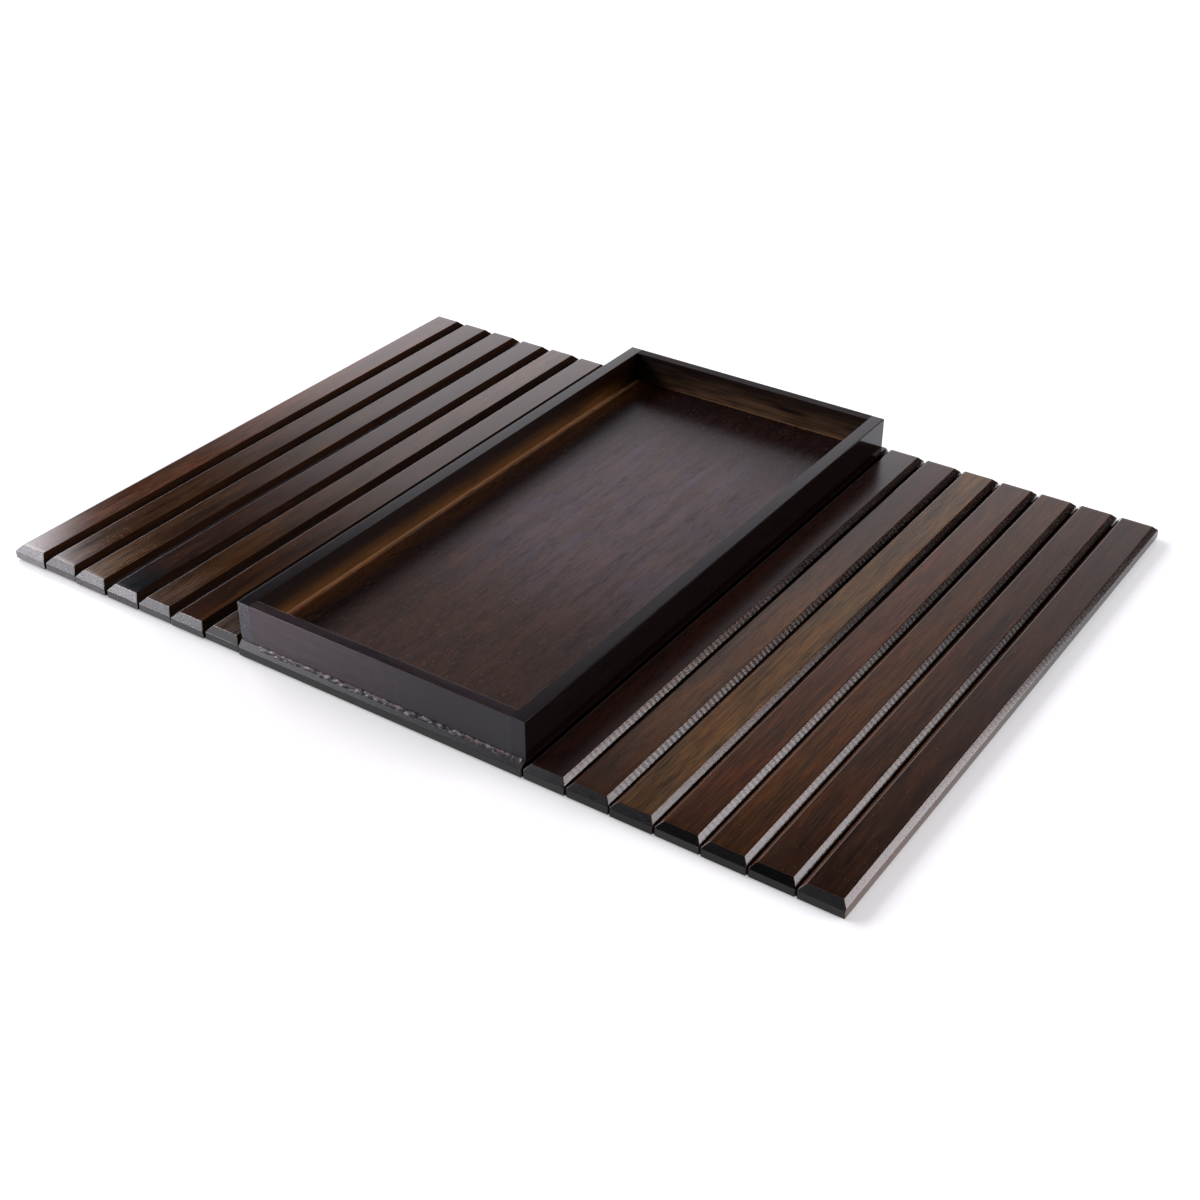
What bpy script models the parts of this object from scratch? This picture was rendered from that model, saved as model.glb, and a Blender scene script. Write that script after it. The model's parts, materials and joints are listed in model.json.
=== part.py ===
# Sofa armrest tray: a shallow wooden tray on a base board, with a wing of slats on each side.
# A backing cloth is bonded under the boards, and its free lines between them are the hinges.
# Metres. +X runs across the wings, +Y along the slats to the back, +Z up.
# The origin is the centre of the underside, on the surface that the object lies on.

import math

import bmesh
import bpy
from mathutils import Vector

OBJECT_NAME = "sofa_armrest_tray"

# Boards
BOARD_LENGTH = 0.358
BOARD_THICKNESS = 0.0075
BOARD_CHAMFER = 0.0032
SLAT_WIDTH = 0.022
BASE_WIDTH = 0.171
SLATS_PER_WING = 7
HINGE_GAP = 0.001  # free width of cloth between two boards

# Backing cloth
CLOTH_THICKNESS = 0.0006
CLOTH_INSET = 0.002  # from the ends of the boards, and from the outer slats' edges

# Tray on the base board
SIDE_WALL_THICKNESS = 0.0075
END_WALL_THICKNESS = 0.006  # front and back
WALL_HEIGHT = 0.0212
FLOOR_THICKNESS = 0.0034
SIDE_OVERHANG = 0.0003  # past the base board's long edges
FRONT_MARGIN = 0.0002  # from the front chamfer's top line
BACK_MARGIN = 0.0064  # from the back chamfer's top line
EDGE_EASE = 0.0006  # rounding of the tray's outer edges
EDGE_EASE_STEPS = 2

# Clearance between pieces that touch
FIT_GAP = 0.0003

# Worked out from the sizes above
SLAT_PITCH = SLAT_WIDTH + HINGE_GAP
FIRST_HINGE_X = BASE_WIDTH / 2 + HINGE_GAP / 2
BOARD_BOTTOM = CLOTH_THICKNESS + FIT_GAP
BOARD_TOP = BOARD_BOTTOM + BOARD_THICKNESS
CLOTH_LENGTH = BOARD_LENGTH - 2 * CLOTH_INSET
TRAY_BOTTOM = BOARD_TOP + FIT_GAP
TRAY_HALF_WIDTH = BASE_WIDTH / 2 + SIDE_OVERHANG
TRAY_FRONT = -BOARD_LENGTH / 2 + BOARD_CHAMFER + FRONT_MARGIN
TRAY_BACK = BOARD_LENGTH / 2 - BOARD_CHAMFER - BACK_MARGIN
TRAY_LENGTH = TRAY_BACK - TRAY_FRONT
INNER_HALF_WIDTH = TRAY_HALF_WIDTH - SIDE_WALL_THICKNESS - FIT_GAP

# Stain and lacquer: base colours in linear light, one for each slat from the tray outwards
TRAY_COLOUR = (0.022, 0.014, 0.011)
FLOOR_COLOUR = (0.030, 0.018, 0.013)
BASE_COLOUR = (0.026, 0.020, 0.018)
CLOTH_COLOUR = (0.012, 0.011, 0.010)
LEFT_COLOURS = (
    (0.030, 0.020, 0.014),
    (0.034, 0.023, 0.016),
    (0.028, 0.019, 0.015),
    (0.032, 0.021, 0.016),
    (0.036, 0.024, 0.018),
    (0.038, 0.026, 0.020),
    (0.040, 0.030, 0.025),
)
RIGHT_COLOURS = (
    (0.028, 0.016, 0.010),
    (0.036, 0.021, 0.012),
    (0.052, 0.034, 0.017),
    (0.044, 0.022, 0.011),
    (0.042, 0.028, 0.018),
    (0.036, 0.025, 0.018),
    (0.034, 0.018, 0.014),
)
LACQUER_ROUGHNESS = 0.38
CLOTH_ROUGHNESS = 0.95


def clear_scene():
    for obj in list(bpy.data.objects):
        bpy.data.objects.remove(obj, do_unlink=True)


def new_collection(name):
    collection = bpy.data.collections.new(name)
    bpy.context.scene.collection.children.link(collection)
    return collection


def new_material(name, colour, roughness):
    material = bpy.data.materials.new(name)
    material.use_nodes = True
    shader = material.node_tree.nodes["Principled BSDF"]
    shader.inputs["Base Color"].default_value = (*colour, 1.0)
    shader.inputs["Roughness"].default_value = roughness
    shader.inputs["Metallic"].default_value = 0.0
    material.diffuse_color = (*colour, 1.0)
    return material


def block(size):
    """A bmesh box of this size, centred on X and Y, with its underside at z = 0."""
    bm = bmesh.new()
    bmesh.ops.create_cube(bm, size=1.0)
    bmesh.ops.scale(bm, vec=size, verts=bm.verts)
    bmesh.ops.translate(bm, vec=(0, 0, size[2] / 2), verts=bm.verts)
    return bm


def bevel(bm, edges, width, steps):
    bmesh.ops.bevel(
        bm,
        geom=edges,
        offset=width,
        offset_type="OFFSET",
        segments=steps,
        profile=0.5,
        affect="EDGES",
    )


def finish_mesh(name, bm):
    mesh = bpy.data.meshes.new(name)
    bm.to_mesh(mesh)
    bm.free()
    return mesh


def board_mesh(name, width, chamfered_sides):
    """A board whose top edges are chamfered at both ends, and along its sides if asked."""
    bm = block((width, BOARD_LENGTH, BOARD_THICKNESS))
    middle_z = BOARD_THICKNESS / 2
    top = [edge for edge in bm.edges if all(vert.co.z > middle_z for vert in edge.verts)]
    if not chamfered_sides:
        top = [edge for edge in top if edge.verts[0].co.y * edge.verts[1].co.y > 0]
    bevel(bm, top, BOARD_CHAMFER, 1)
    return finish_mesh(name, bm)


def plain_mesh(name, size):
    return finish_mesh(name, block(size))


def eased_mesh(name, size, outward):
    """A block whose edges are eased wherever two of its outward faces meet."""
    bm = block(size)
    bm.normal_update()
    outer = {face for face in bm.faces for way in outward if face.normal.dot(Vector(way)) > 0.5}
    eased = [edge for edge in bm.edges if outer.issuperset(edge.link_faces)]
    bevel(bm, eased, EDGE_EASE, EDGE_EASE_STEPS)
    return finish_mesh(name, bm)


def place(name, mesh, location, material, parent, collection):
    obj = bpy.data.objects.new(name, mesh)
    obj.location = location
    obj.parent = parent
    if not mesh.materials:
        mesh.materials.append(None)
    obj.material_slots[0].link = "OBJECT"
    obj.material_slots[0].material = material
    collection.objects.link(obj)
    return obj


def add_empty(name, location, parent, collection):
    empty = bpy.data.objects.new(name, None)
    empty.location = location
    empty.parent = parent
    empty.empty_display_size = SLAT_PITCH / 2
    collection.objects.link(empty)
    return empty


def add_base(root, collection):
    wood = new_material("base_board_wood", BASE_COLOUR, LACQUER_ROUGHNESS)
    cloth = new_material("backing_centre_cloth", CLOTH_COLOUR, CLOTH_ROUGHNESS)
    mesh = board_mesh("base_board", BASE_WIDTH, chamfered_sides=False)
    place("base_board", mesh, (0, 0, BOARD_BOTTOM), wood, root, collection)
    cloth_width = 2 * FIRST_HINGE_X - FIT_GAP
    mesh = plain_mesh("backing_centre", (cloth_width, CLOTH_LENGTH, CLOTH_THICKNESS))
    place("backing_centre", mesh, (0, 0, 0), cloth, root, collection)


def add_tray(root, collection):
    """The side walls run from end to end, and the front and back walls butt between them."""
    middle_y = (TRAY_FRONT + TRAY_BACK) / 2
    up, back, front = (0, 0, 1), (0, 1, 0), (0, -1, 0)

    size = (SIDE_WALL_THICKNESS, TRAY_LENGTH, WALL_HEIGHT)
    for side, sign in (("left", -1), ("right", 1)):
        name = f"tray_wall_{side}"
        wood = new_material(f"{name}_wood", TRAY_COLOUR, LACQUER_ROUGHNESS)
        mesh = eased_mesh(name, size, (up, back, front, (sign, 0, 0)))
        spot = (sign * (TRAY_HALF_WIDTH - SIDE_WALL_THICKNESS / 2), middle_y, TRAY_BOTTOM)
        place(name, mesh, spot, wood, root, collection)

    size = (2 * INNER_HALF_WIDTH, END_WALL_THICKNESS, WALL_HEIGHT)
    front_y = TRAY_FRONT + END_WALL_THICKNESS / 2
    back_y = TRAY_BACK - END_WALL_THICKNESS / 2
    for end, outward, y in (("front", front, front_y), ("back", back, back_y)):
        name = f"tray_wall_{end}"
        wood = new_material(f"{name}_wood", TRAY_COLOUR, LACQUER_ROUGHNESS)
        mesh = eased_mesh(name, size, (up, outward))
        place(name, mesh, (0, y, TRAY_BOTTOM), wood, root, collection)

    wood = new_material("tray_floor_wood", FLOOR_COLOUR, LACQUER_ROUGHNESS)
    floor_length = TRAY_LENGTH - 2 * (END_WALL_THICKNESS + FIT_GAP)
    mesh = plain_mesh("tray_floor", (2 * INNER_HALF_WIDTH, floor_length, FLOOR_THICKNESS))
    place("tray_floor", mesh, (0, middle_y, TRAY_BOTTOM), wood, root, collection)


def add_wing(side, turn, colours, root, collection):
    """A chain of slats. Each hinge empty sits on the cloth's underside, midway between two boards.

    A turn of half a circle about Z makes the left wing: a positive bend about a hinge's own Y
    axis then lowers the slats of either wing.
    """
    slat_mesh = board_mesh(f"slat_{side}", SLAT_WIDTH, chamfered_sides=True)
    inner_width = SLAT_PITCH - FIT_GAP
    outer_width = SLAT_PITCH - FIT_GAP / 2 - HINGE_GAP / 2 - CLOTH_INSET
    slat_x = HINGE_GAP / 2 + SLAT_WIDTH / 2
    first_spot = Vector((math.cos(turn) * FIRST_HINGE_X, 0, 0))
    parent, spot = root, first_spot
    for number in range(1, SLATS_PER_WING + 1):
        hinge = add_empty(f"hinge_{side}_{number}", spot, parent, collection)
        if parent is root:
            hinge.rotation_euler = (0, 0, turn)
        name = f"slat_{side}_{number}"
        colour = colours[(number - 1) % len(colours)]
        wood = new_material(f"{name}_wood", colour, LACQUER_ROUGHNESS)
        place(name, slat_mesh, (slat_x, 0, BOARD_BOTTOM), wood, hinge, collection)
        name = f"backing_{side}_{number}"
        cloth = new_material(f"{name}_cloth", CLOTH_COLOUR, CLOTH_ROUGHNESS)
        width = outer_width if number == SLATS_PER_WING else inner_width
        cloth_mesh = plain_mesh(name, (width, CLOTH_LENGTH, CLOTH_THICKNESS))
        cloth_x = FIT_GAP / 2 + width / 2
        place(name, cloth_mesh, (cloth_x, 0, 0), cloth, hinge, collection)
        parent, spot = hinge, Vector((SLAT_PITCH, 0, 0))


def main():
    clear_scene()
    collection = new_collection(OBJECT_NAME)
    root = add_empty(OBJECT_NAME, (0, 0, 0), None, collection)
    add_base(root, collection)
    add_tray(root, collection)
    add_wing("left", math.pi, LEFT_COLOURS, root, collection)
    add_wing("right", 0.0, RIGHT_COLOURS, root, collection)
    bpy.context.view_layer.update()
    print(f"{OBJECT_NAME}: {2 * SLATS_PER_WING} slats, hinge pitch {SLAT_PITCH * 1000:.1f} mm")


main()
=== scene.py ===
import json
import math
import random

import bmesh
import bpy
import numpy as np
from mathutils import Matrix, Vector


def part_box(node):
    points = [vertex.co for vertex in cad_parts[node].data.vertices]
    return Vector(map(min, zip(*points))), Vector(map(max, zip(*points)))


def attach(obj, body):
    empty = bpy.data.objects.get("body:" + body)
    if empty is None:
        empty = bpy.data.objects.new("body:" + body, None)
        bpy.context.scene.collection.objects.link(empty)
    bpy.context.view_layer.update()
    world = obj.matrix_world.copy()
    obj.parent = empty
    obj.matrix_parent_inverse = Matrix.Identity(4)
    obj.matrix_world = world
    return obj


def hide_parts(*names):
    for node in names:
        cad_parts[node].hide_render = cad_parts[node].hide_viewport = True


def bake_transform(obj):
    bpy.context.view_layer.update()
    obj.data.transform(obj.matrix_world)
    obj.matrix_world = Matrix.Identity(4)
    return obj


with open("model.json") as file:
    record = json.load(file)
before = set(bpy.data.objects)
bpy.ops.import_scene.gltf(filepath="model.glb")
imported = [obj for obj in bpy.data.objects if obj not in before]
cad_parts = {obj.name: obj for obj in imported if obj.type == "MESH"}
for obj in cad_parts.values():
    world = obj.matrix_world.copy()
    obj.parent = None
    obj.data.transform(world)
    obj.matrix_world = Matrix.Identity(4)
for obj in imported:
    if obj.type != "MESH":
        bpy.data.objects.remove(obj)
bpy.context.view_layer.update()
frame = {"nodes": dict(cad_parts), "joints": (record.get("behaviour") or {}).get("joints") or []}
print("frame loaded, nodes:", len(frame["nodes"]))


# small helpers

samePlace = 1e-5  # metres: points this close count as level
facesWay = 0.9  # a face looks a certain way if its normal goes this far along it
keepsStraight = 0.99  # an edge runs along an axis if this share of its length does
arrisTurn = 35  # degrees: the faces at an arris turn more than this
flatShading = {"angle": 28, "weight": 80}  # degrees between smooth faces, and the pull of wide ones


def deselectAll():
    active = bpy.context.view_layer.objects.active
    if active and active.mode != "OBJECT":
        bpy.ops.object.mode_set(mode="OBJECT")
    bpy.ops.object.select_all(action="DESELECT")


def pick(piece):
    deselectAll()
    piece.select_set(True)
    bpy.context.view_layer.objects.active = piece


def applyTransform():
    bpy.ops.object.transform_apply(location=True, rotation=True, scale=True)


def rename(piece, name):
    piece.name = name
    piece.data.name = name


# a block between two corners, its place kept in its mesh
def addBlock(name, low, high):
    deselectAll()
    bpy.ops.mesh.primitive_cube_add(size=1, location=(low + high) / 2, scale=high - low)
    block = bpy.context.object
    rename(block, name)
    applyTransform()
    return block


def startEdit(piece, kind="EDGE"):
    pick(piece)
    bpy.ops.object.mode_set(mode="EDIT")
    bpy.ops.mesh.select_mode(type=kind)
    bpy.ops.mesh.select_all(action="DESELECT")


def endEdit():
    bpy.ops.object.mode_set(mode="OBJECT")


# selects the edges that a test picks, and nothing else
def selectEdges(piece, wanted):
    mesh = bmesh.from_edit_mesh(piece.data)
    for edge in mesh.edges:
        edge.select_set(False)
    for edge in mesh.edges:
        if wanted(edge):
            edge.select_set(True)
    mesh.select_flush_mode()
    bmesh.update_edit_mesh(piece.data)


def runsAlong(edge, axis):
    way = edge.verts[0].co - edge.verts[1].co
    return abs(way[axis]) > keepsStraight * way.length


# rounds every edge that the faces turn sharply at
def easeArrises(piece, width):
    startEdit(piece)
    bpy.ops.mesh.edges_select_sharp(sharpness=math.radians(arrisTurn))
    bpy.ops.mesh.bevel(offset=width, segments=2)
    endEdit()


def smoothByAngle(piece, degrees):
    pick(piece)
    bpy.ops.object.shade_smooth_by_angle(angle=math.radians(degrees))


def applyModifiers(piece):
    pick(piece)
    for modifier in list(piece.modifiers):
        bpy.ops.object.modifier_apply(modifier=modifier.name)


# wide faces stay flat up to their rounded arrises
def smoothFlats(piece):
    smoothByAngle(piece, flatShading["angle"])
    weighted = piece.modifiers.new("flats", "WEIGHTED_NORMAL")
    weighted.weight = flatShading["weight"]
    weighted.keep_sharp = True
    applyModifiers(piece)


def meshPoints(piece):
    points = np.empty(len(piece.data.vertices) * 3)
    piece.data.vertices.foreach_get("co", points)
    return points.reshape(-1, 3)


def setMeshPoints(piece, points):
    piece.data.vertices.foreach_set("co", points.ravel())
    piece.data.update()


def finishPiece(piece, material, body, slot, *nodes):
    piece.data.materials.clear()
    piece.data.materials.append(material)
    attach(piece, body)
    if nodes:
        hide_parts(*nodes)


# helpers for materials and light

def newMaterial(name):
    material = bpy.data.materials.new(name)
    material.use_nodes = True
    return material, material.node_tree, material.node_tree.nodes["Principled BSDF"]


def addNode(tree, kind, values=None, **settings):
    node = tree.nodes.new("ShaderNode" + kind)
    for name, value in settings.items():
        setattr(node, name, value)
    for name, value in (values or {}).items():
        if isinstance(value, bpy.types.NodeSocket):
            tree.links.new(value, node.inputs[name])
        else:
            node.inputs[name].default_value = value
    return node


def addMath(tree, kind, first, second=0.0, clamp=False):
    return addNode(tree, "Math", {0: first, 1: second}, operation=kind, use_clamp=clamp).outputs[0]


def product(tree, first, second, clamp=False):
    return addMath(tree, "MULTIPLY", first, second, clamp)


def splitAxes(tree, vector):
    return addNode(tree, "SeparateXYZ", {0: vector}).outputs


# adds up its parts, each times its share
def weigh(tree, *pairs):
    total = 0.0
    for value, share in pairs:
        total = addNode(tree, "Math", {0: value, 1: share, 2: total}, operation="MULTIPLY_ADD").outputs[0]
    return total


# a smooth step from low to high as the value goes from start to end
def addStep(tree, value, start, end, low=0.0, high=1.0):
    inputs = {"Value": value, "From Min": start, "From Max": end, "To Min": low, "To Max": high}
    return addNode(tree, "MapRange", inputs, interpolation_type="SMOOTHSTEP").outputs["Result"]


# 1 where the value is at its full end, 0 where it is at the other
def addFade(tree, value, full, gone):
    return addStep(tree, value, full, gone, 1.0, 0.0)


# 1 inside a range, with a soft edge at each end of it
def insideRange(tree, value, limits):
    start, full, fullNoMore, end = limits
    return product(tree, addStep(tree, value, start, full), addFade(tree, value, fullNoMore, end))


def mixColours(tree, factor, first, second, blend="MIX"):
    mix = addNode(tree, "Mix", data_type="RGBA", blend_type=blend, clamp_factor=True)
    for socket, value in ((mix.inputs[0], factor), (mix.inputs[6], first), (mix.inputs[7], second)):
        if isinstance(value, bpy.types.NodeSocket):
            tree.links.new(value, socket)
        else:
            socket.default_value = value if isinstance(value, float) else (*value, 1.0)
    return mix.outputs[2]


def addNoise(tree, coords, scale, detail):
    return addNode(tree, "TexNoise", {"Vector": coords, "Scale": scale, "Detail": detail}).outputs["Fac"]


def addRelief(tree, shader, height, distance=1.0):
    relief = addNode(tree, "Bump", {"Height": height, "Distance": distance, "Strength": 1.0})
    tree.links.new(relief.outputs["Normal"], shader.inputs["Normal"])


def scaled(colour, amount):
    return tuple(part * amount for part in colour)


# camera, light and floor

cameraPlace = {
    "location": (0.4688, -0.6764, 0.5035),
    "turn": (56.913, 0.157, 34.303),  # degrees about X, Y and Z
    "lens": 54.14,
    "sensor": 36,
    "clip": (0.05, 50),
}

# soft light by direction, in degrees clockwise from +Y and in degrees up: where each patch starts,
# is full, is full no more and ends, and how bright it is. Its lean moves it to the right as it
# goes up: degrees for each degree, and the height where its turn holds. A ramp gives the height
# where it starts and how much the light gains for each degree down from there
softPatches = {
    "left_box": {"turn": (-142, -124, -56, -52.5), "height": (12, 15, 38, 41), "strength": 8.5},
    "right_box": {"turn": (40.2, 44.6, 88, 96), "height": (1, 4, 29, 32), "lean": (0.53, 25),
                  "strength": 7.8},
    "back_wall": {"turn": (-50.5, -40.5, -36, 30), "height": (-3, 0, 50, 60), "lean": (0.75, 27),
                  "ramps": ((41, 0.0745), (30, 0.125))},
    "overhead": {"turn": (-181, -180, 180, 181), "height": (55, 70, 90, 91), "strength": 0.6},
}

surroundings = {
    "roomLevel": 0.03,
    "whiteUpTo": 8,  # degrees, as reflections see it. The camera sees white all round
    "whiteFade": 2,
    "whiteLevel": 1.05,
    "brightest": 2.7,  # of a ramp, near the floor
    "floorSize": 12,
    "floorColour": (0.8, 0.8, 0.8),
    "floorRoughness": 0.15,
    "floorGlow": 0.3,  # seen by the camera and in reflections only
    "tint": (1.0, 0.975, 1.03),
}


def addCamera():
    data = bpy.data.cameras.new("camera")
    data.sensor_width = cameraPlace["sensor"]
    data.lens = cameraPlace["lens"]
    data.clip_start, data.clip_end = cameraPlace["clip"]
    camera = bpy.data.objects.new("camera", data)
    camera.location = cameraPlace["location"]
    camera.rotation_euler = [math.radians(angle) for angle in cameraPlace["turn"]]
    bpy.context.scene.collection.objects.link(camera)
    bpy.context.scene.camera = camera


# how bright one patch is in a direction
def patchLight(tree, patch, turn, height):
    slope, middle = patch.get("lean", (0, 0))
    upright = addMath(tree, "SUBTRACT", turn, weigh(tree, (height, slope), (slope * middle, -1.0)))
    inside = insideRange(tree, upright, patch["turn"])
    inside = product(tree, inside, insideRange(tree, height, patch["height"]))
    strength = patch.get("strength", 0.0)
    for start, gain in patch.get("ramps", ()):
        below = addMath(tree, "MAXIMUM", addMath(tree, "SUBTRACT", start, height))
        strength = weigh(tree, (below, gain), (strength, 1.0))
    strength = addMath(tree, "MINIMUM", strength, patch.get("strength", surroundings["brightest"]))
    return product(tree, inside, strength)


def makeWorld():
    world = bpy.data.worlds.new("studio")
    bpy.context.scene.world = world
    world.use_nodes = True
    tree = world.node_tree
    ray = splitAxes(tree, addNode(tree, "TexCoord").outputs["Generated"])
    turn = product(tree, addMath(tree, "ARCTAN2", ray["X"], ray["Y"]), math.degrees(1))
    height = product(tree, addMath(tree, "ARCSINE", ray["Z"]), math.degrees(1))
    glow = surroundings["roomLevel"]
    for patch in softPatches.values():
        glow = addMath(tree, "ADD", glow, patchLight(tree, patch, turn, height))
    path = addNode(tree, "LightPath").outputs
    mirrored = addMath(tree, "MAXIMUM", path["Is Glossy Ray"], path["Is Transmission Ray"])
    whiteTop = surroundings["whiteUpTo"]
    low = addFade(tree, height, whiteTop, whiteTop + surroundings["whiteFade"])
    seen = addMath(tree, "MAXIMUM", path["Is Camera Ray"], product(tree, mirrored, low))
    seen = product(tree, seen, surroundings["whiteLevel"])
    background = tree.nodes["Background"].inputs
    tree.links.new(addMath(tree, "MAXIMUM", glow, seen), background["Strength"])
    background["Color"].default_value = (*surroundings["tint"], 1)


def addFloor():
    deselectAll()
    bpy.ops.mesh.primitive_plane_add(size=surroundings["floorSize"], location=(0, 0, 0))
    floor = bpy.context.object
    floor.name = "floor"
    material, tree, shader = newMaterial("pale_floor")
    shader.inputs["Base Color"].default_value = (*surroundings["floorColour"], 1)
    shader.inputs["Roughness"].default_value = surroundings["floorRoughness"]
    shader.inputs["Emission Color"].default_value = (1, 1, 1, 1)
    path = addNode(tree, "LightPath").outputs
    seen = addMath(tree, "MAXIMUM", path["Is Camera Ray"], path["Is Glossy Ray"])
    seen = addMath(tree, "MAXIMUM", seen, path["Is Transmission Ray"])
    tree.links.new(product(tree, seen, surroundings["floorGlow"]), shader.inputs["Emission Strength"])
    floor.data.materials.append(material)


addCamera()
makeWorld()
addFloor()
bpy.context.scene.view_settings.view_transform = "Standard"
print("camera, lights and floor ready")


# stained wood

# how wide and how long a mark of each kind is, in metres
grain = {
    "tone": (0.008, 0.14),
    "streak": (0.0016, 0.07),
    "fibre": (0.0005, 0.012),
    "patch": (0.005, 0.03),
    "warmth": (0.007, 0.045),
    "dash": (0.0007, 0.005),
    "gold": (0.0007, 0.0016),
    "speckle": (0.0005, 0.0005),
    "scratch": (0.006, 0.012),
}
grainDetail = 2.0
seedShift = (3.7, 5.3, 7.1)  # how far a seed moves the grain

# how much each kind of mark swings the stain, and the lacquer's roughness
stainSwings = {"tone": 1.2, "streak": 1.2, "fibre": 1.9, "patch": 0.8}
shineSwings = {"fibre": 0.05, "patch": 0.06}
specksDull = 0.16  # how much rougher the specks on the sides are

# the value of its noise where a mark starts to show, and where it is full
markSteps = {
    "warm": (0.3, 0.7),
    "pore": (0.62, 0.72),
    "gold": (0.70, 0.76),
    "speck": (0.58, 0.64),
    "mottle": (0.35, 0.65),
    # where painted highlights show on the arrises of the slats' ends
    "wornArris": (0.40, 0.52),
    "scratchedPart": (0.45, 0.55),
}
scratchLine = (0.003, 0.011)  # how far from the noise's middle a scratch is full, and gone
scratchStrength = 0.5

# how far the normal goes up, or along the grain, where each kind of face starts and is full. An
# arris lies between two such steps
faceSteps = {
    "top": (0.8, 0.9),
    "end": (0.5, 0.6),
    "band": (0.85, 0.95),  # the upright part of a chamfered end
    "inner": (0.5, 0.6),  # of a wall, where the normal goes inwards
    "upperArris": (0.08, 0.2, 0.5, 0.62),
    "lowerArris": (0.73, 0.78, 0.95, 0.99),
}

# how dark and how light a tone gets, as shares of it
toneRanges = {"top": (0.35, 1.65), "side": (0.6, 1.4), "end": (0.4, 1.6)}
poreShare = 0.25  # of the top's tone
speckShare = 0.2  # of the side's tone
goldTone = (0.20, 0.10, 0.04)
scratchTone = (0.17, 0.13, 0.10)

# how unevenly the painted glow at the foot of an inner wall spreads, for a roughness of 1, and how
# high the painted light line along its seam is full, and gone
footGlowSwings = {"patch": 2.4, "streak": 2.0}
footGlowLoss = 0.2  # how much weaker the painted glow is on the whole
seamGlowLine = (0.0001, 0.0014)

# shared by all the wood: how strong each kind of mark is, the relief in metres, and roughness
woodLook = {
    "contrast": 0.9,
    "hue": 0.12,
    "pores": 0.65,
    "gold": 0.5,
    "specks": 0.7,
    "stretch": 1.0,  # of the marks, along the grain
    "bump": 0.000003,
    "endBump": 0.00003,
    "sideBump": 0.000012,
    "sideRoughness": 0.12,
}


def grainNoise(tree, coords, kind, along, seed, stretch):
    across, length = grain[kind]
    scale = [1 / across] * 3
    scale[along] = 1 / max(length * stretch, across)
    values = {"Vector": coords, "Location": scaled(seedShift, seed), "Scale": scale}
    moved = addNode(tree, "Mapping", values).outputs["Vector"]
    return addNoise(tree, moved, 1.0, grainDetail)


# the swing of a noise about its middle, times an amount
def swing(tree, noise, amount):
    values = {0: noise, 1: amount, 2: -0.5 * amount}
    return addNode(tree, "Math", values, operation="MULTIPLY_ADD").outputs[0]


# how far the surface belongs to each kind of face
def sortFaces(tree, facing, along):
    top = addStep(tree, facing["Z"], *faceSteps["top"])
    endwise = addMath(tree, "ABSOLUTE", facing["XY"[along]])
    end = addStep(tree, endwise, *faceSteps["end"])
    side = addMath(tree, "SUBTRACT", addMath(tree, "SUBTRACT", 1.0, top), end, clamp=True)
    band = addStep(tree, endwise, *faceSteps["band"])
    return {"top": top, "side": side, "end": end, "band": band, "endwise": endwise}


# one kind of face's tone, with other tones in its zones. A zone's tone is full at one place along
# an axis and gone at another
def tonedPart(tree, tone, zones, spot):
    for axis, full, gone, other in zones:
        tone = mixColours(tree, addFade(tree, spot[axis], full, gone), tone, other)
    return tone


# a tone that a noise makes darker and lighter
def shaded(tree, kind, factor, tone):
    dark, light = toneRanges[kind]
    return mixColours(tree, 1.0, mixColours(tree, factor, (dark,) * 3, (light,) * 3), tone, "MULTIPLY")


def stainTop(tree, noise, factor, pores, tone, poreTone, look):
    stain = shaded(tree, "top", factor, tone)
    warm, hue = addStep(tree, noise["warmth"], *markSteps["warm"]), look["hue"]
    tint = mixColours(tree, warm, (1 - hue, 1.0, 1 + 2 * hue), (1 + hue, 1.0, 1 - 1.5 * hue))
    stain = mixColours(tree, 1.0, stain, tint, "MULTIPLY")
    stain = mixColours(tree, product(tree, pores, look["pores"]), stain, poreTone)
    gold = addStep(tree, noise["gold"], *markSteps["gold"])
    return mixColours(tree, product(tree, gold, look["gold"]), stain, goldTone)


# fine curved lines in places, full up to one Y and gone at another
def scratchTop(tree, noise, stain, spot, limits):
    lines = addMath(tree, "ABSOLUTE", swing(tree, noise["scratch"], 1.0))
    lines = addStep(tree, lines, *scratchLine, scratchStrength, 0.0)
    lines = product(tree, lines, addStep(tree, noise["warmth"], *markSteps["scratchedPart"]))
    lines = product(tree, lines, addFade(tree, spot["Y"], *limits))
    return mixColours(tree, lines, stain, scratchTone)


# painted light: a golden glow on the foot of an inner wall, with a painted light line along the seam
def paintFootGlow(tree, noise, stain, spot, facing, foot, along):
    axis, sign = foot["faces"]
    inner = addStep(tree, product(tree, facing[axis], sign), *faceSteps["inner"])
    if "until" in foot:
        inner = product(tree, inner, addFade(tree, spot["XY"[along]], *foot["until"]))
    height, rough = foot["height"], foot["rough"]
    # how far up the painted glow reaches, made uneven
    worn = addFade(tree, spot["Z"], height, height + foot["fade"])
    swings = [(swing(tree, noise[kind], amount * rough), 1.0) for kind, amount in footGlowSwings.items()]
    uneven = weigh(tree, *swings, (1 - footGlowLoss * rough, 1.0))
    worn = product(tree, worn, uneven, clamp=True)
    stain = mixColours(tree, product(tree, inner, worn), stain, foot["tone"])
    # the painted light line along the seam
    line = addFade(tree, spot["Z"], height + seamGlowLine[0], height + seamGlowLine[1])
    return mixColours(tree, product(tree, inner, line), stain, foot["line"])
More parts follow.
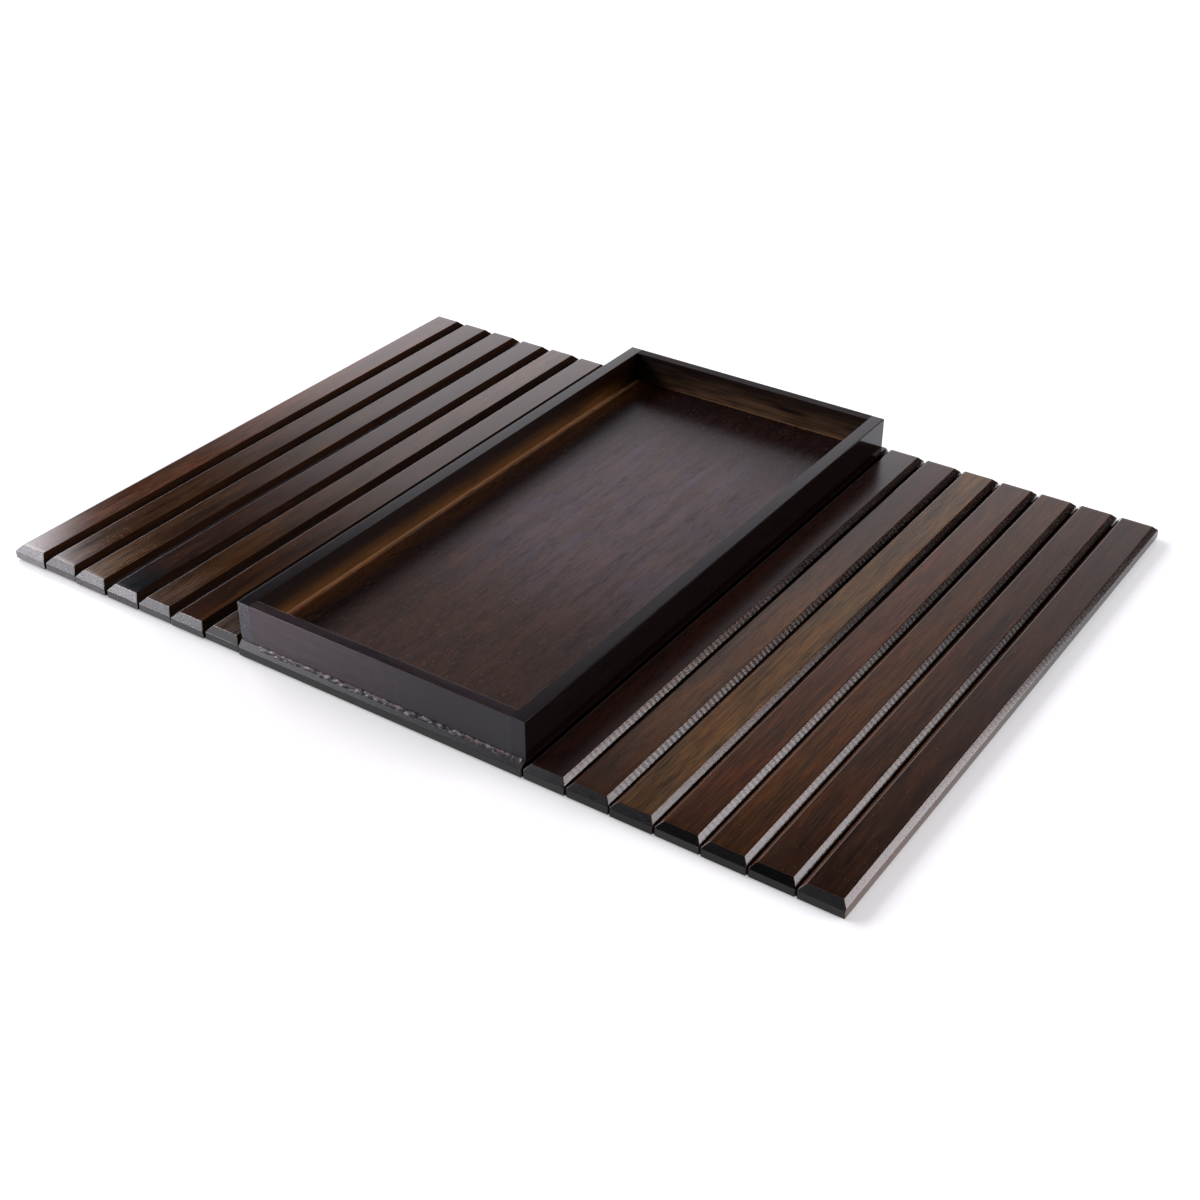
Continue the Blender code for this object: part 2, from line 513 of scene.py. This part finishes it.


# sawn and mottled ends. Some get painted highlights on the arrises above and below the chamfer
def stainEnds(tree, noise, stain, faces, tones):
    sawn = mixColours(tree, faces["band"], tones["end"], tones.get("band", tones["end"]))
    endGrain = shaded(tree, "end", addStep(tree, noise["speckle"], *markSteps["mottle"]), sawn)
    if "arris" in tones:
        worn = addStep(tree, noise["speckle"], *markSteps["wornArris"])
        upper = insideRange(tree, faces["endwise"], faceSteps["upperArris"])
        lower = insideRange(tree, faces["endwise"], faceSteps["lowerArris"])
        endGrain = mixColours(tree, product(tree, lower, worn), endGrain, tones["arris"])
        stain = mixColours(tree, product(tree, upper, worn), stain, tones["arris"])
    return mixColours(tree, faces["end"], stain, endGrain)


# lacquer and relief by kind of face
def lacquer(tree, shader, noise, faces, pores, specks, look):
    ends = addMath(tree, "SUBTRACT", faces["end"], faces["band"])
    swings = [(swing(tree, noise[kind], amount), 1.0) for kind, amount in shineSwings.items()]
    shine = weigh(tree, (faces["top"], look["roughness"]), (faces["side"], look["sideRoughness"]),
                  (ends, look["endRoughness"]), (faces["band"], look["bandRoughness"]),
                  *swings, (specks, specksDull * look["specks"]))
    tree.links.new(shine, shader.inputs["Roughness"])
    height = weigh(tree, (noise["fibre"], look["bump"]), (pores, -look["bump"]),
                   (product(tree, noise["speckle"], faces["end"]), look["endBump"]),
                   (product(tree, noise["speckle"], faces["side"]), look["sideBump"]))
    addRelief(tree, shader, height)
    shader.inputs["IOR"].default_value = 1.5
    shader.inputs["Specular IOR Level"].default_value = look["specular"]


# stained and lacquered wood, with the grain along one axis (0 is X, 1 is Y). It has a tone for
# each kind of face: top, side, end and, below a chamfered end, band. Zones are listed by kind of
# face too
def makeWood(name, tones, seed, look, along=1, foot=None, zones=None):
    material, tree, shader = newMaterial(name)
    zones = zones or {}
    place = addNode(tree, "TexCoord").outputs
    spot = splitAxes(tree, place["Object"])
    facing = splitAxes(tree, place["Normal"])
    faces = sortFaces(tree, facing, along)
    noise = {kind: grainNoise(tree, place["Object"], kind, along, seed + step, look["stretch"])
             for step, kind in enumerate(grain)}
    contrast = look["contrast"]
    swings = [(swing(tree, noise[kind], amount * contrast), 1.0) for kind, amount in stainSwings.items()]
    factor = addMath(tree, "ADD", weigh(tree, *swings), 0.5, clamp=True)
    pores = addStep(tree, noise["dash"], *markSteps["pore"])
    tone = tonedPart(tree, tones["top"], zones.get("top", ()), spot)
    poreTone = look.get("poreTone", scaled(tones["top"], poreShare))
    stain = stainTop(tree, noise, factor, pores, tone, poreTone, look)
    if "scratched" in look:
        stain = scratchTop(tree, noise, stain, spot, look["scratched"])
    specks = product(tree, addStep(tree, noise["speckle"], *markSteps["speck"]), faces["side"])
    sideTone = tonedPart(tree, tones["side"], zones.get("side", ()), spot)
    sideStain = mixColours(tree, product(tree, specks, look["specks"]),
                           shaded(tree, "side", factor, sideTone), scaled(tones["side"], speckShare))
    stain = mixColours(tree, faces["side"], stain, sideStain)
    # a golden glow painted at the foot of an inner wall
    if foot:
        stain = paintFootGlow(tree, noise, stain, spot, facing, foot, along)
    tree.links.new(stainEnds(tree, noise, stain, faces, tones), shader.inputs["Base Color"])
    lacquer(tree, shader, noise, faces, pores, specks, look)
    return material


# slats

# lengths in metres
slatShape = {
    "endChamfer": 0.0032,
    "arris": 0.00025,
    "ripplePitch": 0.0037,  # of the marks left by the cutter along the side chamfers
    "endClear": 0.006,
    "cuts": (93, 3),  # stations along a slat: each length is cut, then cut again
    "chamferFacing": (0.6, 0.8),  # a chamfer's normal goes this far up, and as far sideways
}

# what the slats of a wing share. A zone gives the axis along which another tone fades, where it is
# full, where it is gone, and the tone. On a wing that has a front, the tops that have no zones of
# their own darken there to a share of their tone
wings = {
    "left": {
        "sideChamfer": 0.0032,
        # painted shade: this wing's side chamfers are darkened as in shade
        "sideTone": (0.016, 0.005, 0.0015),
        "arrisHighlightTone": (0.55, 0.52, 0.52),  # of the painted highlights on the arrises at the ends
        "look": {"roughness": 0.10, "specks": 0.35, "sideBump": 0.000012, "endBump": 0.00007},
        "firstSeed": 10,
    },
    "right": {
        "sideChamfer": 0.0026,
        # painted highlight: this wing's side chamfers are lightened as where they catch the light
        "sideTone": (0.075, 0.036, 0.021),
        # painted shade: the highlight falls to dark towards the back
        "sideShadeZones": [("Y", 0.060, -0.100, (0.014, 0.005, 0.002))],
        "front": ("Y", -0.178, -0.130),
        "frontShare": 0.6,
        "look": {"roughness": 0.15, "specks": 0.8, "sideBump": 0.00003, "endBump": 0.00003},
        "firstSeed": 30,
    },
}
# tint of the ends' greys, part of their painted light
endTint = (1.0, 0.97, 1.0)

# the slats of each wing from the tray outwards. Each has the tone of its top in linear light, the
# gloss of its lacquer, grey and roughness of its end's chamfer and then of the band below it, how
# deep the marks on its side chamfers are, and its fit: how far it is cut back on the left, right,
# front and back, and how much lower the left and the right edge of its top are. Some have zones of
# another tone, or scratches that are full up to one Y and gone at another
# end greys: the end grain is dark, and the left wing's ends are painted light from the left
slats = {
    "left": [
        {"tone": (0.019, 0.008, 0.002), "gloss": 0.45, "end": (0.008, 0.50, 0.030, 0.5),
         "ripple": 0.00002, "fit": (0, 0, 0.0008, 0.0002, 0.00002, 0),
         "zones": [("Y", -0.172, -0.150, (0.058, 0.042, 0.034))]},
        {"tone": (0.031, 0.010, 0.002), "gloss": 0.53, "end": (0.028, 0.26, 0.020, 0.4),
         "ripple": 0.00002, "fit": (0, 0.0001, 0.0001, 0.0004, 0, 0.00003)},
        {"tone": (0.034, 0.013, 0.003), "gloss": 0.44, "end": (0.060, 0.26, 0.066, 0.4),
         "ripple": 0.00002, "fit": (0.0001, 0, 0.0004, 0, 0.00004, 0),
         "zones": [("Y", -0.170, -0.130, (0.060, 0.033, 0.020)),
                   ("Y", 0.125, 0.020, (0.060, 0.027, 0.014))]},
        {"tone": (0.022, 0.008, 0.004), "gloss": 0.44, "end": (0.215, 0.26, 0.062, 0.4),
         "ripple": 0.00002, "fit": (0.0004, 0, 0.0001, 0.0003, 0, 0.00002),
         "zones": [("Y", -0.172, -0.135, (0.002, 0.003, 0.004))]},
        {"tone": (0.033, 0.014, 0.005), "gloss": 0.36, "end": (0.190, 0.26, 0.165, 0.4),
         "ripple": 0.00002, "fit": (0, 0.0007, 0, 0.0001, 0.00003, 0),
         "zones": [("Y", -0.172, -0.120, (0.075, 0.042, 0.020))], "scratched": (-0.150, -0.120)},
        {"tone": (0.031, 0.011, 0.002), "gloss": 0.40, "end": (0.108, 0.30, 0.148, 0.4),
         "ripple": 0.00002, "fit": (0, 0.0001, 0.0005, 0.0003, 0, 0.00004),
         "zones": [("Y", -0.172, -0.140, (0.070, 0.042, 0.030))], "scratched": (-0.150, -0.110)},
        {"tone": (0.057, 0.020, 0.008), "gloss": 0.48, "end": (0.200, 0.26, 0.340, 0.4),
         "ripple": 0.00002, "fit": (0, 0, 0, 0.0001, 0, 0)},
    ],
    "right": [
        {"tone": (0.020, 0.005, 0.002), "gloss": 0.58, "end": (0.006, 0.22, 0.001, 0.6),
         "ripple": 0.00004, "fit": (0, 0.0001, 0.0002, 0.0001, 0.00003, 0), "look": {"roughness": 0.28}},
        {"tone": (0.068, 0.029, 0.010), "gloss": 0.45, "end": (0.018, 0.18, 0.001, 0.6),
         "ripple": 0.00006, "fit": (0.0001, 0, 0.0004, 0.0003, 0, 0.00003), "look": {"roughness": 0.16},
         "zones": [("Y", -0.170, -0.100, (0.028, 0.009, 0.002)),
                   ("Y", 0.140, 0.000, (0.030, 0.007, 0.001))]},
        {"tone": (0.077, 0.036, 0.010), "gloss": 0.37, "end": (0.016, 0.18, 0.001, 0.6),
         "ripple": 0.000015, "fit": (0, 0.0002, 0.0001, 0, 0.00002, 0),
         "zones": [("Y", -0.172, -0.100, (0.055, 0.026, 0.009))]},
        {"tone": (0.047, 0.013, 0.002), "gloss": 0.48, "end": (0.005, 0.12, 0.001, 0.6),
         "ripple": 0.00004, "fit": (0, 0, 0.0003, 0.0004, 0, 0.00004)},
        {"tone": (0.040, 0.013, 0.002), "gloss": 0.40, "end": (0.009, 0.12, 0.001, 0.6),
         "ripple": 0.000035, "fit": (0.0001, 0.0001, 0, 0.0002, 0.00003, 0)},
        {"tone": (0.030, 0.010, 0.003), "gloss": 0.38, "end": (0.004, 0.10, 0.001, 0.6),
         "ripple": 0.00003, "fit": (0, 0.0001, 0.0002, 0, 0, 0.00002)},
        {"tone": (0.022, 0.007, 0.002), "gloss": 0.42, "end": (0.008, 0.30, 0.001, 0.6),
         "ripple": 0.00002, "fit": (0, 0, 0, 0.0001, 0, 0)},
    ],
}


# a board whose top edges are sawn off at 45 degrees at its ends, and along its sides if asked, with
# its corners and arrises sanded
def modelBoard(name, low, high, shape):
    board = addBlock(name, low, high)
    cuts = [(Vector((0, low.y, high.z)), Vector((0, -1, 1)), shape["endChamfer"]),
            (Vector((0, high.y, high.z)), Vector((0, 1, 1)), shape["endChamfer"])]
    if "sideChamfer" in shape:
        cuts += [(Vector((low.x, 0, high.z)), Vector((-1, 0, 1)), shape["sideChamfer"]),
                 (Vector((high.x, 0, high.z)), Vector((1, 0, 1)), shape["sideChamfer"])]
    startEdit(board)
    for corner, way, width in cuts:
        foot = corner - Vector((0, 0, width))
        bpy.ops.mesh.select_all(action="SELECT")
        bpy.ops.mesh.bisect(plane_co=foot, plane_no=way, use_fill=True, clear_outer=True)
    if "cornerRound" in shape:
        selectEdges(board, lambda edge: runsAlong(edge, 2))
        bpy.ops.mesh.bevel(offset=shape["cornerRound"], segments=3)
    endEdit()
    easeArrises(board, shape["arris"])
    return board


# cuts a board across into stations along Y, clear of its two ends
def cutStations(board, low, high):
    clear = slatShape["endClear"]
    startEdit(board)
    for y in (low.y + clear, high.y - clear):
        bpy.ops.mesh.select_all(action="SELECT")
        bpy.ops.mesh.bisect(plane_co=(0, y, 0), plane_no=(0, 1, 0))
    middle = (low.y + high.y) / 2
    reach = (high.y - low.y) / 2 - clear + samePlace

    # an edge that runs along the board, between its two end cuts
    def isStationEdge(edge):
        return runsAlong(edge, 1) and all(abs(vert.co.y - middle) < reach for vert in edge.verts)

    for count in slatShape["cuts"]:
        selectEdges(board, isStationEdge)
        bpy.ops.mesh.subdivide(number_cuts=count)
    endEdit()


# trims a slat's sides and ends, and lowers its top's edges
def fitSlat(slat, low, high, fit):
    left, right, front, back, lowerLeft, lowerRight = fit
    points = meshPoints(slat)
    across = (points[:, 0] - low.x) / (high.x - low.x)
    along = (points[:, 1] - low.y) / (high.y - low.y)
    points[:, 0] += left * (1 - across) - right * across
    points[:, 1] += front * (1 - along) - back * along
    share = (points[:, 2] - low.z) / (high.z - low.z)
    points[:, 2] -= share * (lowerLeft * (1 - across) + lowerRight * across)
    setMeshPoints(slat, points)


# scallops left by the cutter along both side chamfers: bands that run across them push them in
def rippleChamfers(slat, depth, rng):
    least, most = slatShape["chamferFacing"]
    startEdit(slat, "FACE")
    mesh = bmesh.from_edit_mesh(slat.data)
    for face in mesh.faces:
        face.select_set(least < face.normal.z < most and abs(face.normal.x) > least)
    bmesh.update_edit_mesh(slat.data)
    group = slat.vertex_groups.new(name="chamfers")
    bpy.ops.object.vertex_group_assign()
    endEdit()
    pitch = slatShape["ripplePitch"]
    deselectAll()
    bpy.ops.object.empty_add(location=(0, rng.random() * pitch, 0))
    ruler = bpy.context.object
    ruler.scale = (1000, pitch * 10 / (2 * math.pi), 1000)  # the bands come ten to a full turn
    bpy.context.view_layer.update()
    push = slat.modifiers.new("scallops", "DISPLACE")
    push.texture = bpy.data.textures["scallops"]
    push.texture_coords = "OBJECT"
    push.texture_coords_object = ruler
    push.vertex_group = group.name
    push.strength = depth
    push.mid_level = 1.0
    applyModifiers(slat)
    slat.vertex_groups.clear()
    bpy.data.objects.remove(ruler)


def makeSlatWood(name, side, number, details):
    wing = wings[side]
    # end greys: the end grain is dark, and the left wing's ends are painted light from the left
    endGrey, endRoughness, bandGrey, bandRoughness = details["end"]
    tones = {"top": details["tone"], "side": wing["sideTone"], "end": scaled(endTint, endGrey),
             "band": scaled(endTint, bandGrey)}
    # painted highlights on the arrises of the ends
    if "arrisHighlightTone" in wing:
        tones["arris"] = wing["arrisHighlightTone"]
    look = dict(woodLook, **wing["look"])
    look.update(endRoughness=endRoughness, bandRoughness=bandRoughness, specular=details["gloss"])
    look.update(details.get("look", {}))
    if "scratched" in details:
        look["scratched"] = details["scratched"]
    topZones = details.get("zones", [])
    if "front" in wing and not topZones:
        topZones = [(*wing["front"], scaled(details["tone"], wing["frontShare"]))]
    zones = {"top": topZones, "side": wing.get("sideShadeZones", ())}
    return makeWood(name, tones, number + wing["firstSeed"], look, zones=zones)


def makeSlats():
    rng = random.Random(21)
    bands = bpy.data.textures.new("scallops", "WOOD")
    bands.wood_type = "BANDS"
    bands.noise_basis_2 = "SIN"
    for side, wing in wings.items():
        low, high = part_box(f"slat_{side}_1")
        middle = (low + high) / 2
        pattern = modelBoard("slat_pattern", low, high, dict(slatShape, sideChamfer=wing["sideChamfer"]))
        cutStations(pattern, low, high)
        for number, details in enumerate(slats[side], 1):
            node = f"slat_{side}_{number}"
            low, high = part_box(node)
            slat = pattern.copy()
            slat.data = pattern.data.copy()
            rename(slat, node + "_wood")
            bpy.context.scene.collection.objects.link(slat)
            slat.data.transform(Matrix.Translation((low + high) / 2 - middle))
            rippleChamfers(slat, details["ripple"], rng)
            fitSlat(slat, low, high, details["fit"])
            smoothFlats(slat)
            material = makeSlatWood(slat.name, side, number, details)
            finishPiece(slat, material, f"{side}_{number}", "slat_wood", node)
        bpy.data.objects.remove(pattern)


makeSlats()
print("slats ready")


# base board

baseBoard = {
    "shape": {"endChamfer": 0.0032, "cornerRound": 0.0006, "arris": 0.0002},
    "seed": 51,
    "tones": {
        "top": (0.020, 0.012, 0.010),
        "side": (0.010, 0.006, 0.005),
        "end": (0.004, 0.003, 0.004),
        "band": (0.006, 0.004, 0.005),
    },
    "look": dict(woodLook, roughness=0.2, endRoughness=0.24, bandRoughness=0.45, endBump=0.00004,
                 specks=0.5, specular=0.42),
}

# the glue that was squeezed out under the tray's front wall and down the chamfer, in metres
bead = {
    "cuts": 420,
    "sides": 20,
    "reach": 0.0015,  # half its height, measured down the chamfer
    "thick": 0.00045,
    "slope": 45,  # degrees, of the chamfer
    "drop": 0.0009,  # of its middle below the seam, measured down the chamfer
    "from": -0.074,  # its left end
    "endClear": 0.002,  # from its right end to the right wall's outer face
    "lump": 0.0012,
    "rough": 0.0014,
    "level": 0.55,  # the value of the lumps' texture that stays in place
    "smooth": 60,  # degrees
    # the pale spots are partly the dried glue's whitish colour and partly painted glints
    "tones": ((0.003, 0.002, 0.004), (0.22, 0.19, 0.20)),
    "spots": (0.52, 0.64),
    "roughness": (0.04, 0.3),
    "seam": 0.0005,  # height of the painted glint line along the seam
    "seamGlintTone": (0.20, 0.145, 0.145),
    "seamBreaks": (0.42, 0.58),
    "noiseScales": (900.0, 260.0),  # of the spots and of the breaks
    "noiseDetail": 3.0,
}


def makeBase():
    base = modelBoard("base_board_wood", *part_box("base_board"), baseBoard["shape"])
    smoothFlats(base)
    wood = makeWood(base.name, baseBoard["tones"], baseBoard["seed"], baseBoard["look"])
    finishPiece(base, wood, "tray_and_base", "base_wood", "base_board")


def makeGlue(top):
    glue, tree, shader = newMaterial("clear_glue")
    coords = addNode(tree, "TexCoord").outputs["Object"]
    spots, breaks = [addNoise(tree, coords, scale, bead["noiseDetail"]) for scale in bead["noiseScales"]]
    spots = addStep(tree, spots, *bead["spots"])
    # the painted glint line along the seam
    seam = addStep(tree, splitAxes(tree, coords)["Z"], top - bead["seam"], top)
    seam = product(tree, seam, addStep(tree, breaks, *bead["seamBreaks"]))
    tone = mixColours(tree, seam, mixColours(tree, spots, *bead["tones"]), bead["seamGlintTone"])
    tree.links.new(tone, shader.inputs["Base Color"])
    smoothest, roughest = bead["roughness"]
    tree.links.new(addStep(tree, spots, 0.0, 1.0, roughest, smoothest), shader.inputs["Roughness"])
    return glue


# a rod, flattened against the chamfer, cut across into short lengths and pushed into lumps
def makeBead():
    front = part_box("tray_wall_front")[0].y
    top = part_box("base_board")[1].z
    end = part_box("tray_wall_right")[1].x - bead["endClear"]
    middle = (end + bead["from"]) / 2
    halfLength = end - middle
    slope = math.radians(bead["slope"])
    deselectAll()
    bpy.ops.mesh.primitive_cylinder_add(vertices=bead["sides"], radius=1, depth=2,
                                        rotation=(0, math.pi / 2, 0))
    rod = bpy.context.object
    rename(rod, "glue_bead")
    applyTransform()
    rod.scale = (halfLength, bead["reach"], bead["thick"])
    rod.rotation_euler = (slope, 0, 0)
    rod.location = (middle, front - bead["drop"] * math.cos(slope), top - bead["drop"] * math.sin(slope))
    applyTransform()
    startEdit(rod)
    selectEdges(rod, lambda edge: runsAlong(edge, 0) and edge.calc_length() > halfLength)
    bpy.ops.mesh.subdivide(number_cuts=bead["cuts"])
    endEdit()
    lumps = bpy.data.textures.new("lumps", "CLOUDS")
    lumps.noise_scale = bead["lump"]
    push = rod.modifiers.new("lumps", "DISPLACE")
    push.texture = lumps
    push.texture_coords = "LOCAL"
    push.strength = bead["rough"]
    push.mid_level = bead["level"]
    applyModifiers(rod)
    smoothByAngle(rod, bead["smooth"])
    finishPiece(rod, makeGlue(top), "tray_and_base", "base_wood")


makeBase()
makeBead()
print("base board ready")


# tray

trayShape = {
    "outerEase": 0.0005,
    "innerEase": 0.0002,
    "floorEase": 0.0001,
    "jointGap": 0.00003,  # left at each glued joint
}

trayLook = dict(woodLook, roughness=0.15, sideRoughness=0.22, endRoughness=0.3, bandRoughness=0.35,
                endBump=0.000005, sideBump=0.0, specks=0.0, gold=0.2)

# the walls: the way out, tones and lacquer, and the foot, where a golden glow is painted inside: how
# high the glow reaches, how uneven it is, its tone and the tone of the painted light line along the
# seam. Where the glow stops short of a corner, it is full until one place along the wall and gone at
# another. A wall with a worn foot is rounded along its lower outer edge
trayWalls = {
    "left": {
        "outward": ("X", -1), "seed": 65, "wornFoot": 0.0024, "look": {"specular": 0.26},
        "tones": {"top": (0.003, 0.001, 0.002), "side": (0.006, 0.002, 0.001),
                  # painted light: this end is much lighter and bluer than the right wall's
                  "end": (0.095, 0.090, 0.110)},
        "foot": {"fade": 0.012, "rough": 0.5, "until": (0.120, 0.156),
                 "tone": (0.082, 0.032, 0.007), "line": (0.21, 0.105, 0.045)},
    },
    "right": {
        "outward": ("X", 1), "seed": 66, "look": {"specular": 0.32, "sideRoughness": 0.1},
        "tones": {"top": (0.003, 0.001, 0.002), "side": (0.003, 0.001, 0.001),
                  "end": (0.006, 0.002, 0.010)},
        "foot": {"fade": 0.0105, "rough": 0.5,
                 "tone": (0.078, 0.024, 0.005), "line": (0.2, 0.10, 0.04)},
    },
    "front": {
        "outward": ("Y", -1), "seed": 65, "look": {"specular": 0.36},
        "tones": {"top": (0.010, 0.005, 0.006), "side": (0.004, 0.001, 0.006),
                  "end": (0.01, 0.005, 0.005)},
        "foot": {"fade": 0.014, "rough": 0.9,
                 "tone": (0.10, 0.060, 0.036), "line": (0.26, 0.15, 0.08)},
        # painted sheen: the front face is lighter and more mauve towards the left
        "zones": {"side": [("X", -0.075, 0.06, (0.054, 0.029, 0.042))]},
    },
    "back": {
        "outward": ("Y", 1), "seed": 64, "look": {"specular": 0.03, "roughness": 0.4, "contrast": 1.0},
        "tones": {"top": (0.014, 0.010, 0.010), "side": (0.022, 0.014, 0.012),
                  "end": (0.01, 0.005, 0.005)},
        "foot": {"fade": 0.018, "rough": 1.2, "until": (-0.040, -0.078),
                 "tone": (0.15, 0.085, 0.047), "line": (0.25, 0.14, 0.07)},
    },
}

trayFloor = {
    "seed": 75,
    "tones": {"top": (0.051, 0.033, 0.036), "side": (0.02, 0.01, 0.01), "end": (0.02, 0.01, 0.01)},
    "look": dict(woodLook, roughness=0.28, sideRoughness=0.3, endRoughness=0.3, bandRoughness=0.3,
                 contrast=0.8, hue=0.10, pores=0.6, poreTone=(0.11, 0.055, 0.026), gold=0.6,
                 sideBump=0.0, specular=0.15, stretch=0.7),
    # its front, its back, and its left side up to the seam with the wall
    "zones": {"top": [
        ("Y", -0.11, 0.0, (0.023, 0.007, 0.003)),
        # painted shade along the back wall
        ("Y", 0.14, 0.07, (0.011, 0.005, 0.005)),
        # painted shade along the left wall
        ("X", -0.060, -0.040, (0.011, 0.003, 0.002)),
        ("X", -0.073, -0.062, (0.034, 0.011, 0.002)),
        # a painted golden glow line at the seam, mirroring the glow on the wall's foot
        ("X", -0.0776, -0.0748, (0.21, 0.10, 0.045)),
    ]},
}


# the walls stand down on the base board, and the front and back ones butt between the side ones
def makeTray():
    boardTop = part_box("base_board")[1].z
    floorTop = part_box("tray_floor")[1].z
    gap = trayShape["jointGap"]
    corners = {side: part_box("tray_wall_" + side) for side in trayWalls}
    inner = corners["right"][0].x
    for side, (low, high) in corners.items():
        details = trayWalls[side]
        axis, sign = details["outward"]
        low.z = boardTop + gap
        if axis == "Y":
            low.x = gap - inner
            high.x = inner - gap
        wall = addBlock(f"tray_wall_{side}_wood", low, high)
        easeWall(wall, details)
        smoothFlats(wall)
        look = dict(trayLook, **details["look"])
        along = 1 if axis == "X" else 0
        foot = dict(details["foot"], faces=(axis, -sign), height=floorTop)
        zones = details.get("zones")
        material = makeWood(wall.name, details["tones"], details["seed"], look, along, foot, zones)
        finishPiece(wall, material, "tray_and_base", "tray_wood", "tray_wall_" + side)
    low = Vector((gap - inner, corners["front"][1].y + gap, boardTop + gap))
    high = Vector((inner - gap, corners["back"][0].y - gap, floorTop))
    floor = addBlock("tray_floor_wood", low, high)
    easeArrises(floor, trayShape["floorEase"])
    smoothFlats(floor)
    material = makeWood(floor.name, trayFloor["tones"], trayFloor["seed"], trayFloor["look"],
                        zones=trayFloor["zones"])
    finishPiece(floor, material, "tray_and_base", "floor_wood", "tray_floor")


# rounds a wall's outer edges, and its inner ones a little. The edges of a glued joint stay sharp
def easeWall(wall, details):
    axis, sign = details["outward"]
    outward = Vector((sign, 0, 0)) if axis == "X" else Vector((0, sign, 0))
    free = [outward, Vector((0, 0, 1))]
    if axis == "X":
        free += [Vector((0, -1, 0)), Vector((0, 1, 0))]

    def looks(face, *ways):
        return any(face.normal.dot(way) > facesWay for way in ways)

    startEdit(wall)
    if "wornFoot" in details:
        foot = min(vert.co.z for vert in wall.data.vertices) + samePlace
        selectEdges(wall, lambda edge: any(looks(face, outward) for face in edge.link_faces)
                    and all(vert.co.z < foot for vert in edge.verts))
        bpy.ops.mesh.bevel(offset=details["wornFoot"], segments=4)
    selectEdges(wall, lambda edge: all(looks(face, *free) for face in edge.link_faces))
    bpy.ops.mesh.bevel(offset=trayShape["outerEase"], segments=3)
    top = max(vert.co.z for vert in wall.data.vertices) - samePlace
    selectEdges(wall, lambda edge: any(looks(face, -outward) for face in edge.link_faces)
                and all(vert.co.z > top for vert in edge.verts))
    bpy.ops.mesh.bevel(offset=trayShape["innerEase"], segments=2)
    endEdit()


makeTray()
print("tray ready")


# backing cloth

clothShape = {
    "thickness": 0.0008,
    "bendParts": 6,  # that the free line between two boards is cut into
    "freeWidth": 0.001,
    "thread": 0.0007,  # from one thread to the next
    "relief": 0.00006,
    "threadShare": 0.75,  # of the height
    "fluffShare": 0.5,
    "fluffScale": 700.0,
    "fluffDetail": 4.0,
    "tones": ((0.006, 0.0055, 0.005), (0.022, 0.020, 0.018)),
    "roughness": 0.95,
}


# plain weave: threads along X and along Y that pass over each other in turn
def makeClothMaterial():
    material, tree, shader = newMaterial("backing_cloth")
    coords = addNode(tree, "TexCoord").outputs["Object"]
    spot = splitAxes(tree, coords)
    waves = []
    for axis in "XY":
        angle = product(tree, spot[axis], math.pi / clothShape["thread"])
        waves.append(addMath(tree, "SINE", angle))
    first, second = [addMath(tree, "ABSOLUTE", wave) for wave in waves]
    over = addMath(tree, "GREATER_THAN", product(tree, *waves), 0.0)
    under = addMath(tree, "SUBTRACT", 1.0, over)
    threads = addMath(tree, "ADD", product(tree, first, over), product(tree, second, under))
    fluff = addNoise(tree, coords, clothShape["fluffScale"], clothShape["fluffDetail"])
    height = weigh(tree, (threads, clothShape["threadShare"]), (fluff, clothShape["fluffShare"]))
    tree.links.new(mixColours(tree, height, *clothShape["tones"]), shader.inputs["Base Color"])
    addRelief(tree, shader, height, clothShape["relief"])
    shader.inputs["Roughness"].default_value = clothShape["roughness"]
    return material


# a strip of cloth from one X to another, cut across at the places where it bends
def addStrip(name, fromX, toX, low, high, bends, material):
    deselectAll()
    middle = Vector(((fromX + toX) / 2, (low.y + high.y) / 2, 0))
    bpy.ops.mesh.primitive_plane_add(size=1, location=middle)
    strip = bpy.context.object
    rename(strip, name)
    strip.scale = (abs(toX - fromX), high.y - low.y, 1)
    applyTransform()
    startEdit(strip)
    for x in bends:
        bpy.ops.mesh.select_all(action="SELECT")
        bpy.ops.mesh.bisect(plane_co=(x, 0, 0), plane_no=(1, 0, 0))
    endEdit()
    solid = strip.modifiers.new("thickness", "SOLIDIFY")
    solid.thickness = clothShape["thickness"]
    solid.offset = 1
    applyModifiers(strip)
    strip.data.materials.append(material)
    return strip


# one sheet under the tray, and one for each hinge: it reaches half the hinges' pitch to either side,
# and the last one to the cloth's edge
def makeCloth():
    material = makeClothMaterial()
    hinges = {joint["name"]: joint["pos_m"][0] for joint in frame["joints"]}
    low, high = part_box("backing_centre")
    halfFree = clothShape["freeWidth"] / 2
    pitch = abs(hinges["hinge_right_2"] - hinges["hinge_right_1"])
    inner = hinges["hinge_right_1"] - pitch / 2
    centre = addStrip("backing_cloth_centre", -inner, inner, low, high, (), material)
    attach(centre, "tray_and_base")
    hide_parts("backing_centre")
    for side, sign in (("left", -1), ("right", 1)):
        for number in range(1, len(slats[side]) + 1):
            body = f"{side}_{number}"
            x = hinges["hinge_" + body]
            fromX, toX = x - sign * pitch / 2, x + sign * pitch / 2
            if number == len(slats[side]):
                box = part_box("backing_" + body)
                toX = box[0].x if sign < 0 else box[1].x
            count = clothShape["bendParts"]
            bends = [x + (step / count - 0.5) * 2 * halfFree for step in range(count + 1)]
            strip = addStrip(f"backing_cloth_{body}", fromX, toX, low, high, bends, material)
            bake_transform(strip)
            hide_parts("backing_" + body)


makeCloth()
print("backing cloth ready")
